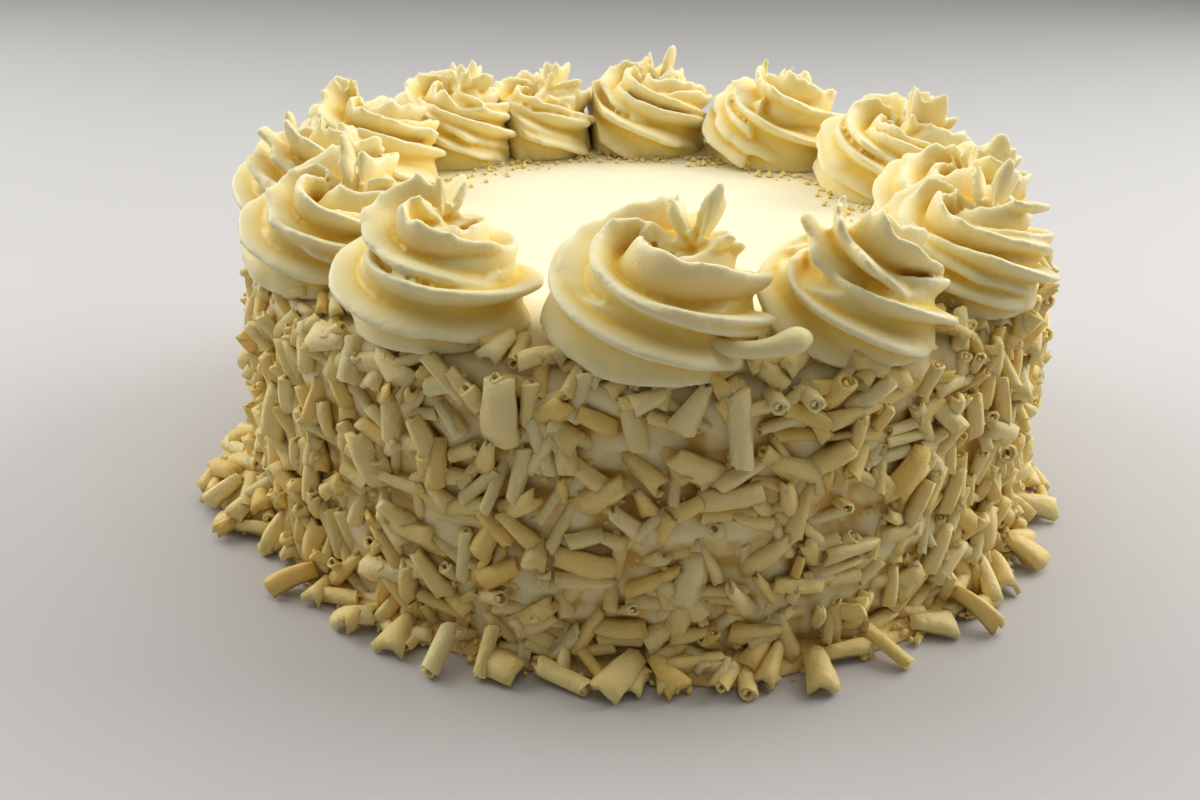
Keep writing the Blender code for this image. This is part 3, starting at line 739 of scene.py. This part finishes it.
def filling_shavings():
    """The smaller shavings that cover the icing between the large ones."""
    draw = random.Random(SEED + 1)
    shavings = []
    row_height = FILL_TOP / FILL_ROWS
    for row in range(FILL_ROWS):
        for column in range(FILL_COLUMNS):
            along = column + row * ROW_STAGGER + either_way(draw, FILL_MOVED_AROUND)
            angle = 360 / FILL_COLUMNS * along
            height = row_height * (row + 0.5 + either_way(draw, FILL_MOVED_UP))
            if draw.random() < bare_share(angle, height):
                continue
            kind, length, width = small_sizes(draw)
            shavings.append((kind, angle, height, draw.uniform(*FILL_REACH), length, width,
                             side_turn(draw, angle), draw.gauss(0, FILL_TILT)))
    for _ in range(COLLAR):
        shavings.append(collar_shaving(draw))
    for _ in range(FOOT_FILL):
        angle = draw.uniform(0, 360)
        width, height = heap_size(angle)
        slope = draw.uniform(*HEAP_SLOPE)
        kind, length, size = small_sizes(draw)
        reach = (width + draw.uniform(0, FOOT_FILL_REACH)) * math.cos(slope)
        shavings.append((kind, angle, height * math.sin(slope), reach, length, size,
                         draw.uniform(0, 180), draw.uniform(*FOOT_FILL_TILT)))
    return shavings


def collar_shaving(draw):
    """One on the rounded shoulder or on the rim of the top just inside it."""
    kind, length, width = small_sizes(draw)
    slope = math.radians(draw.triangular(*COLLAR_SLOPE))
    over = SHOULDER_ROUND + draw.uniform(0, COLLAR_REACH)
    climbed = min(slope, math.pi / 2)
    inwards = (slope - climbed) * SHOULDER_ROUND
    radius = SHOULDER_RADIUS - SHOULDER_ROUND + over * math.cos(climbed) - inwards
    height = CAKE_TOP - SHOULDER_ROUND + over * math.sin(climbed)
    tilt = math.degrees(climbed) + draw.gauss(0, COLLAR_TILT)
    return (kind, draw.uniform(0, 360), height, radius - side_radius(height), length * COLLAR_LENGTH,
            width, draw.uniform(0, 180), tilt)


def small_sizes(draw):
    kind = 'curl' if draw.random() < SMALL_CURL_SHARE else 'shard'
    width = draw.uniform(*(SMALL_CURL_RADIUS if kind == 'curl' else SMALL_SHARD_WIDTH))
    return kind, draw.uniform(*SMALL_LENGTH), width


def curl_form(draw):
    """A sheet rolled up tightly along X: one unit long, with an outer radius of 1."""
    start_piece()
    bpy.ops.mesh.primitive_grid_add(x_subdivisions=2, y_subdivisions=CURL_STEPS, size=1)
    curl = named("curl_form")
    skew = either_way(draw, CURL_SKEW)
    oval = draw.uniform(*CURL_OVAL)
    for vertex in curl.data.vertices:
        along, share = vertex.co.x, vertex.co.y + 0.5
        angle = 2 * math.pi * CURL_ROLL * share + skew * along
        radius = (CURL_HOLE + CURL_GROWTH * share) * (1 + CURL_FLARE * along)
        end = along * (1 + CURL_RAGGED * math.sin(angle * 1.5 + 1))
        vertex.co = (end, radius * math.cos(angle), radius * oval * math.sin(angle))
    return curl


def shard_form(draw):
    """A flat shaving along X, one unit long and wide, bowed, twisted and uneven at its edges."""
    start_piece()
    bpy.ops.mesh.primitive_grid_add(x_subdivisions=4, y_subdivisions=3, size=1)
    shard = named("shard_form")
    taper = draw.uniform(*SHARD_TAPER)
    bow = draw.uniform(*SHARD_BOW)
    cup = draw.uniform(*SHARD_CUP)
    twist = either_way(draw, SHARD_TWIST)
    own = draw.uniform(0, 50)
    end_raggedness, side_raggedness, pitch = SHARD_RAGGED
    for vertex in shard.data.vertices:
        along, across = vertex.co.x, vertex.co.y
        ragged = noise_at(along * pitch, across * pitch, own)
        wide = across * (1 - taper * (along + 0.5)) * (1 + side_raggedness * ragged)
        arched = 2 * bow * (0.25 - along * along) + cup * (0.25 - across * across)
        vertex.co = (along * (1 + end_raggedness * ragged), wide, arched + twist * along * across)
    return shard


def crumb_form(draw):
    """A small uneven lump, about one unit wide."""
    start_piece()
    bpy.ops.mesh.primitive_ico_sphere_add(subdivisions=1, radius=0.5)
    crumb = named("crumb_form")
    for vertex in crumb.data.vertices:
        vertex.co = vertex.co * draw.uniform(*CRUMB_CORNERS)
        vertex.co.z *= CRUMB_FLATNESS
    return crumb


def form_data(obj, thickness=0.0):
    """A form's vertices and faces, once a sheet has its thickness. The form itself is removed."""
    if thickness:
        walls = obj.modifiers.new("walls", 'SOLIDIFY')
        walls.thickness = thickness
        walls.offset = 0
        apply_modifiers(obj)
    places = places_of(obj.data)
    faces = [tuple(face.vertices) for face in obj.data.polygons]
    bpy.data.objects.remove(obj, do_unlink=True)
    return places, faces


def stand_matrix(angle, height, reach, turn, tilt):
    """From a shaving that lies flat at the origin to its place on the side or at the foot."""
    outward = ring_point(angle, 1.0, 0.0)
    upward = Vector((0, 0, 1))
    across = upward.cross(outward)
    stand = Matrix((across, upward, outward)).transposed().to_4x4()
    lean = Matrix.Rotation(math.radians(-tilt), 4, 'X')
    spin = Matrix.Rotation(math.radians(turn), 4, 'Z')
    place = Matrix.Translation(ring_point(angle, side_radius(height) + reach, height))
    return place @ stand @ lean @ spin


def joined(name, pieces, ceiling=None):
    """One mesh of many pieces, each its vertices, faces and tone, moved inside the frame's box."""
    vertices, faces, tones = [], [], []
    count = 0
    lowest = np.array(frame_box[0]) + INSIDE
    highest = np.array(frame_box[1]) - INSIDE
    if ceiling is not None:
        highest[2] = ceiling
    for places, its_faces, tone in pieces:
        back = np.maximum(lowest - places.min(axis=0), 0) - np.maximum(places.max(axis=0) - highest, 0)
        vertices.append(places + back)
        faces.extend(tuple(index + count for index in face) for face in its_faces)
        tones.append(np.full(len(places), tone))
        count += len(places)
    mesh = bpy.data.meshes.new(name)
    mesh.from_pydata(np.concatenate(vertices).tolist(), [], faces)
    mesh.update()
    store(mesh, "tone", np.concatenate(tones))
    return mesh_object(name, mesh)


def moved(places, matrix):
    turned = np.array(matrix)
    return places @ turned[:3, :3].T + turned[:3, 3]


def shavings(material):
    """All the shavings, as one piece of curls and one of shards."""
    draw = random.Random(SEED + 2)
    curls = [form_data(curl_form(draw), CURL_WALL) for _ in range(CURL_FORMS)]
    shards = [form_data(shard_form(draw), draw.uniform(*SHARD_WALL)) for _ in range(SHARD_FORMS)]
    made = {'curl': [], 'shard': []}
    for order, shaving in enumerate(large_shavings() + filling_shavings()):
        kind, angle, height, reach, length, width, turn, tilt = shaving
        places, faces = draw.choice(curls if kind == 'curl' else shards)
        sized = places * ((length, width, width) if kind == 'curl' else (length, width, length))
        matrix = stand_matrix(angle, height, reach, turn, tilt)
        tone = FRONT_TONE if order < len(FRONT_SHAVINGS) else draw.triangular(*TONES)
        made[kind].append((moved(sized, matrix), faces, tone))
    for kind, pieces in made.items():
        piece = joined(f"chocolate_{kind}s", pieces, CEILING)
        if kind == 'curl':
            only(piece)
            bpy.ops.object.shade_smooth_by_angle(angle=CURL_CREASE)
        else:
            piece.data.shade_smooth()
        finish_piece(piece, "white_chocolate", material, CAKE_NODE)


def crumbs(material):
    """The fine crumbs on the side, on the heap at the foot and on the top."""
    draw = random.Random(SEED + 3)
    forms = [form_data(crumb_form(draw)) for _ in range(CRUMB_FORMS)]
    pieces = []
    for _ in range(CRUMBS):
        places, faces = draw.choice(forms)
        size = draw.uniform(*CRUMB_SIZE)
        angle = draw.uniform(0, 360)
        if draw.random() < CRUMBS_AT_FOOT:
            width, height = heap_size(angle)
            slope = draw.uniform(*HEAP_SLOPE)
            reach = width * math.cos(slope) * draw.uniform(*CRUMB_SPILL)
            height = height * math.sin(slope)
        else:
            reach, height = draw.uniform(*CRUMB_REACH), draw.uniform(*CRUMB_HEIGHT)
        turn = Matrix.Rotation(draw.uniform(0, math.pi), 4, 'Y')
        matrix = stand_matrix(angle, height, reach, draw.uniform(0, 180), 0) @ turn
        pieces.append((moved(places * size, matrix), faces, draw.random()))
    for _ in range(TOP_CRUMBS):
        places, faces = draw.choice(forms)
        angle, radius = draw.gauss(*TOP_CRUMB_ANGLE), draw.triangular(*TOP_CRUMB_RADIUS)
        size = draw.uniform(*TOP_CRUMB_SIZE)
        place = Matrix.Translation(ring_point(angle, radius, CAKE_TOP + TOP_CRUMB_LIFT * size))
        pieces.append((moved(places * size, place), faces, draw.uniform(*TOP_CRUMB_TONE)))
    piece = joined("chocolate_crumbs", pieces)
    finish_piece(piece, "white_chocolate", material, CAKE_NODE)


# ---------------------------------------------------------------- rosettes

def crest_share(angle):
    """1 on the star's points, and 0 between them."""
    return 0.5 + 0.5 * math.cos(STAR_POINTS * angle)


def star_nozzle():
    """The outline that a rope of icing is pressed through."""
    curve = bpy.data.curves.new("star_nozzle", 'CURVE')
    curve.dimensions = '2D'
    outline = curve.splines.new('POLY')
    outline.points.add(STAR_STEPS - 1)
    for index, point in enumerate(outline.points):
        angle = 2 * math.pi * index / STAR_STEPS
        radius = STAR_VALLEY + (1 - STAR_VALLEY) * crest_share(angle) ** CREST_SHARPNESS
        point.co = (radius * math.cos(angle), radius * math.sin(angle), 0.0, 1.0)
    outline.use_cyclic_u = True
    return mesh_object("star_nozzle", curve)


def rope_path(radius, height, start_deg, turns, ridge_deg, twist):
    """Its points: (place, rope radius, nozzle turn)."""
    rope = ROPE_SHARE * radius
    first_ridge = 180 % (360 / STAR_POINTS)    # how high one stands on an unturned rope, in degrees
    steps = round(turns * STEPS_A_TURN)
    points = []
    for step in range(steps + 1):
        turned = turns * step / steps
        climb = beyond(turned, FOOT_TURNS, turns)
        wobble = noise_at(turned * WOBBLES_A_TURN, start_deg, 0.5)
        swing = (radius - rope) * (1 - (1 - END_SWING) * climb) * (1 + WOBBLE * wobble)
        laid = rope * (FOOT_SQUASH + TURN_RISE * turned)
        lift = laid + (height - laid) * climb ** RISE_BEND
        angle = math.radians(start_deg) - 2 * math.pi * turned
        place = Vector((swing * math.cos(angle), swing * math.sin(angle), lift))
        narrowed = 1 - END_NARROWING * beyond(turned, turns - END_TURNS, turns) ** 2
        nozzle_turn = math.radians(ridge_deg - first_ridge) + (angle + math.pi / 2) * twist
        nozzle_turn += MEANDER * noise_at(turned * MEANDERS_A_TURN, start_deg, 7.5)
        points.append((place, rope * (1 - ROPE_THINNING * climb) * narrowed, nozzle_turn))
    return points


def piped_rope(name, points, nozzle):
    curve = bpy.data.curves.new(name, 'CURVE')
    curve.dimensions = '3D'
    curve.twist_mode = 'Z_UP'
    curve.bevel_mode = 'OBJECT'
    curve.bevel_object = nozzle
    line = curve.splines.new('POLY')
    line.points.add(len(points) - 1)
    for point, (place, radius, turn) in zip(line.points, points):
        point.co = (*place, 1.0)
        point.radius = radius
        point.tilt = turn
    only(mesh_object(name, curve))
    bpy.ops.object.convert(target='MESH')
    return bpy.context.object


def ruffle(mesh, points, seed, turns, frill):
    """Swells the ridges unevenly, frills them more and more towards the rope's end, and pulls the
    lobes of the end upwards."""
    own = Vector((seed * 7.3, 1.7, 3.1))

    def own_noise(along, ridge, apart):
        return noise.noise(own + Vector((along, ridge, apart)))

    always, at_most = CROWN_PULL
    for ring, (place, _radius, _turn) in enumerate(points):
        turned = turns * ring / (len(points) - 1)
        tear = beyond(turned, turns - CROWN_TURNS, turns)
        climb = beyond(turned, FOOT_TURNS, turns)
        frilled = frill * (FOOT_FRILL + (1 - FOOT_FRILL) * climb) + CROWN_FRILL * tear
        for step in range(STAR_STEPS):
            vertex = mesh.vertices[ring * STAR_STEPS + step]
            angle = 2 * math.pi * step / STAR_STEPS
            crest = crest_share(angle)
            ridge = round(STAR_POINTS * angle / (2 * math.pi)) % STAR_POINTS
            swell = 1 + RIDGE_WAVE * crest * own_noise(turned * WAVES_A_TURN, ridge * 3.7, 0)
            waved = own_noise(turned * FRILLS_A_TURN, ridge * 5.1, 2)
            rough = own_noise(turned * ROUGHNESS_A_TURN, ridge * 5.1, 7)
            swell += frilled * (waved + ROUGHNESS * rough) * crest ** 2
            vertex.co = place + (vertex.co - place) * swell
            pulled = always + at_most * max(own_noise(ridge * 9.3, 5, 1) + 0.5, 0.0)
            vertex.co.z += CROWN_RISE * tear * crest ** 2 * pulled


def close_ends(mesh, points):
    """Sinks the rope's end between its lobes, step by step, and caps both ends."""
    end, before = points[-1][0], points[-2][0]
    inwards = (before - end).normalized()
    shape = bmesh.new()
    shape.from_mesh(mesh)
    shape.verts.ensure_lookup_table()
    last_ring = set(shape.verts[-STAR_STEPS:])
    rim = [edge for edge in shape.edges if edge.is_boundary and edge.verts[0] in last_ring]
    middle, width = end, 1.0
    closing, early = END_CLOSING
    for step in range(1, END_STEPS + 1):
        share = step / END_STEPS
        made = bmesh.ops.extrude_edge_only(shape, edges=rim)['geom']
        rim = [item for item in made if isinstance(item, bmesh.types.BMEdge) and item.is_boundary]
        deeper = end + END_DEPTH * share * inwards
        narrower = 1 - closing * share ** early
        for vertex in {vertex for edge in rim for vertex in edge.verts}:
            vertex.co = deeper + (vertex.co - middle) * (narrower / width)
        middle, width = deeper, narrower
    bmesh.ops.holes_fill(shape, edges=[edge for edge in shape.edges if edge.is_boundary], sides=0)
    bmesh.ops.recalc_face_normals(shape, faces=shape.faces)
    shape.to_mesh(mesh)
    shape.free()


def fill_turns(piece, radius, height):
    """Adds the icing that fills the inside of the rope's turns."""
    for below, above, tall in CORES:
        start_piece()
        bpy.ops.mesh.primitive_cone_add(
            vertices=CORE_AROUND, radius1=below * radius, radius2=above * radius,
            depth=tall * height, location=(0, 0, tall * height / 2))
        piece.select_set(True)
        bpy.context.view_layer.objects.active = piece
        bpy.ops.object.join()


def press_against(places, point, away):
    """Flattens what lies beyond a plane against it, as where two rosettes touch."""
    distance = (places - np.array(point)) @ np.array(away)
    near = distance > -PRESS_DEPTH
    target = -PRESS_DEPTH * np.exp(-(distance[near] + PRESS_DEPTH) / PRESS_DEPTH)
    places[near] += np.outer(target - distance[near], np.array(away))


def press_on_neighbours(mesh, index):
    """Flattens a rosette halfway to the one before it and to the one after it."""
    angle = ROSETTES[index][0]
    places = places_of(mesh)
    before, after = ROSETTES[index - 1][0], ROSETTES[(index + 1) % len(ROSETTES)][0]
    for neighbour, side in ((before, -1), (after, 1)):
        middle = math.radians(angle + signed(neighbour - angle) / 2 - 90)
        away = Vector((-math.sin(middle), math.cos(middle), 0)) * side
        press_against(places, (0, 0, 0), away)
    put_places(mesh, places)


def rosette(index, nozzle, material):
    angle, ring, width, tall, start, turns, ridge, twist, frill = ROSETTES[index]
    name = f"rosette_{index + 1:02d}"
    radius, height = ROSETTE_RADIUS * width, ROSETTE_HEIGHT * tall
    path = rope_path(radius, height, start, turns, ridge, twist)
    piece = piped_rope(f"piped_{name}", path, nozzle)
    ruffle(piece.data, path, index, turns, frill)
    close_ends(piece.data, path)
    fill_turns(piece, radius, height)
    skin = piece.modifiers.new("skin", 'REMESH')
    skin.mode = 'VOXEL'
    skin.voxel_size = ROSETTE_MESH
    soft = piece.modifiers.new("soft", 'SMOOTH')
    soft.factor, soft.iterations = ROSETTE_SOFTENING
    apply_modifiers(piece)
    piece.data.transform(Matrix.Translation(ring_point(angle, ROSETTE_RING_RADIUS * ring, CAKE_TOP)))
    bpy.ops.object.mode_set(mode='EDIT')
    bpy.ops.mesh.select_all(action='SELECT')
    bpy.ops.mesh.bisect(plane_co=(0, 0, CAKE_TOP - ROSETTE_BITE), plane_no=(0, 0, 1),
                        use_fill=True, clear_inner=True)
    bpy.ops.object.mode_set(mode='OBJECT')
    press_on_neighbours(piece.data, index)
    # Painted shade in the hollows between the ridges, stored for the material.
    paint_hollow_shade(piece.data, *ROSETTE_HOLLOW_SHADE)
    piece.data.shade_smooth()
    finish_piece(piece, "piped_icing", material, name)


def tail(material):
    """Where the rope of the front rosette was pulled off sideways: it ends in a drop."""
    curve = bpy.data.curves.new("rosette_tail", 'CURVE')
    curve.dimensions = '3D'
    curve.bevel_depth = 1 * MM
    curve.bevel_resolution = 5
    curve.use_fill_caps = True
    line = curve.splines.new('NURBS')
    line.points.add(len(TAIL) - 1)
    for point, (angle, radius, height, thickness) in zip(line.points, TAIL):
        point.co = (*ring_point(angle, radius * MM, height * MM), 1.0)
        point.radius = thickness
    line.use_endpoint_u = True
    line.order_u = 4
    line.resolution_u = 6
    only(mesh_object("rosette_tail", curve))
    bpy.ops.object.convert(target='MESH')
    piece = bpy.context.object
    weld = piece.modifiers.new("weld", 'WELD')
    weld.merge_threshold = 0.01 * MM
    apply_modifiers(piece)
    # Painted shade: the tail is coloured like icing lying this deep in a hollow.
    store(piece.data, "painted_hollow_shade", [TAIL_HOLLOW_SHADE] * len(piece.data.vertices))
    piece.data.shade_smooth()
    finish_piece(piece, "piped_icing", material, "rosette_01")


# ---------------------------------------------------------------- floor, light and camera

def floor():
    start_piece()
    bpy.ops.mesh.primitive_plane_add(size=FLOOR_SIZE)
    ground = named("floor")
    material, tree, shader = new_material("floor")
    where = tree.nodes.new("ShaderNodeTexCoord")
    split = tree.nodes.new("ShaderNodeSeparateXYZ")
    tree.links.new(where.outputs["Object"], split.inputs["Vector"])
    # Painted shade: the floor is darker towards the back, standing in for the light falling off there.
    stops = ((0.05, (0.58, 0.57, 0.565)), (0.9, (0.52, 0.515, 0.50)))
    colour = colour_ramp(tree, split.outputs["Y"], stops)
    tree.links.new(colour, shader.inputs["Base Color"])
    shader.inputs["Roughness"].default_value = 0.6
    ground.data.materials.append(material)


def soft_light(name, place, size, power):
    """A round lamp that faces the origin."""
    light = bpy.data.lights.new(name, 'AREA')
    light.shape = 'DISK'
    light.size = size
    light.energy = power
    light.color = LAMP_COLOUR
    lamp = mesh_object(name, light)
    lamp.location = place
    lamp.rotation_euler = (-Vector(place)).to_track_quat('-Z', 'Y').to_euler()


def lights():
    soft_light("overhead_light", (0.02, 0.14, 0.52), size=0.7, power=1.38)
    soft_light("left_back_light", (-0.80, 0.30, 0.55), size=0.8, power=5.0)
    soft_light("right_back_light", (0.80, 0.30, 0.55), size=0.8, power=6.3)
    world = bpy.data.worlds.new("studio")
    bpy.context.scene.world = world
    world.use_nodes = True
    surround = world.node_tree.nodes["Background"]
    surround.inputs["Color"].default_value = SURROUND
    surround.inputs["Strength"].default_value = SURROUND_STRENGTH


def camera():
    view = bpy.data.cameras.new("photo_camera")
    view.lens = LENS
    view.sensor_width = SENSOR
    view.clip_start = 0.01
    eye = mesh_object("photo_camera", view)
    eye.location = CAMERA_PLACE
    eye.rotation_euler = (Matrix.Rotation(math.radians(90 - CAMERA_DOWN), 3, 'X')
                          @ Matrix.Rotation(math.radians(CAMERA_ROLL), 3, 'Z')).to_euler()
    bpy.context.scene.camera = eye


def dress():
    camera()
    floor()
    lights()
    bpy.context.scene.view_settings.view_transform = 'Standard'
    bpy.context.scene.view_settings.look = 'Medium High Contrast'
    spread_icing = spread_icing_material()
    piped_icing = piped_icing_material()
    chocolate = chocolate_material()
    coat_of_icing(spread_icing)
    foot_heap(chocolate)
    shavings(chocolate)
    crumbs(chocolate)
    nozzle = star_nozzle()
    for index in range(len(ROSETTES)):
        rosette(index, nozzle, piped_icing)
    bpy.data.objects.remove(nozzle, do_unlink=True)
    tail(piped_icing)


dress()
